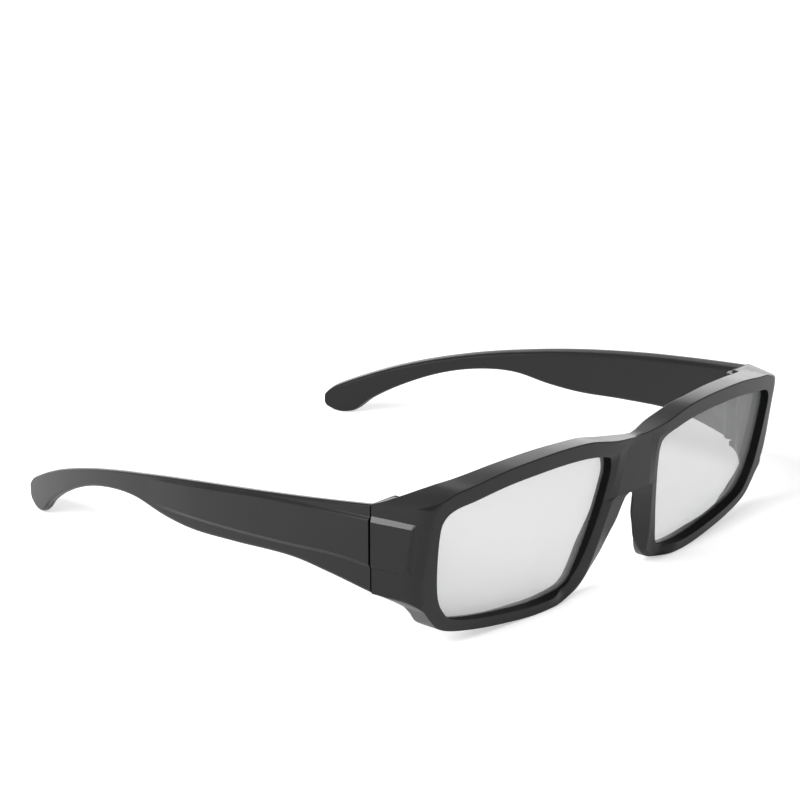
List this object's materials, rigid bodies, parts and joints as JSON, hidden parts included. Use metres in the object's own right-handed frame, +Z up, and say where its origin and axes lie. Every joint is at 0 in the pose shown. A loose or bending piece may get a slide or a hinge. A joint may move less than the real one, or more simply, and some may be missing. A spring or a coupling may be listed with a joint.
{
  "type": "polarised 3d glasses",
  "caption": "Black plastic 3D viewing glasses: a wide bent front that leans forward, pale grey polarising lenses held in grooves, and folding temples with hooked ends.",
  "frame": {"origin": "middle of the overall box in X and Y, on the plane that the rims' lower edges stand on; the hooked ends of the temples lie 0.6 mm above it", "axes": "+Z up; the front faces -Y and the temples run to +Y; +X is the wearer's left"},
  "size_m": [0.1538, 0.1536, 0.0411],
  "materials": {
    "black_plastic": "satin moulded plastic",
    "lens_sheet": "clear plastic sheet with a pale grey polarising layer",
    "pin_steel": "drawn steel wire"
  },
  "bodies": {
    "front": {"front_frame": "black_plastic", "left_retarder_film": "lens_sheet", "left_polariser_film": "lens_sheet", "left_lens_backing": "lens_sheet", "right_retarder_film": "lens_sheet", "right_polariser_film": "lens_sheet", "right_lens_backing": "lens_sheet", "left_hinge_pin": "pin_steel", "right_hinge_pin": "pin_steel"},
    "left_arm": {"left_temple": "black_plastic"},
    "right_arm": {"right_temple": "black_plastic"}
  },
  "joints": [
    {"name": "left_fold", "type": "hinge", "parent": "front", "child": "left_arm", "pos_m": [0.06765, -0.05742, 0.0257], "axis": [0, 0, 1], "range_deg": [0, 76]},
    {"name": "right_fold", "type": "hinge", "parent": "front", "child": "right_arm", "pos_m": [-0.06765, -0.05742, 0.0257], "axis": [0, 0, -1], "range_deg": [0, 84]}
  ]
}
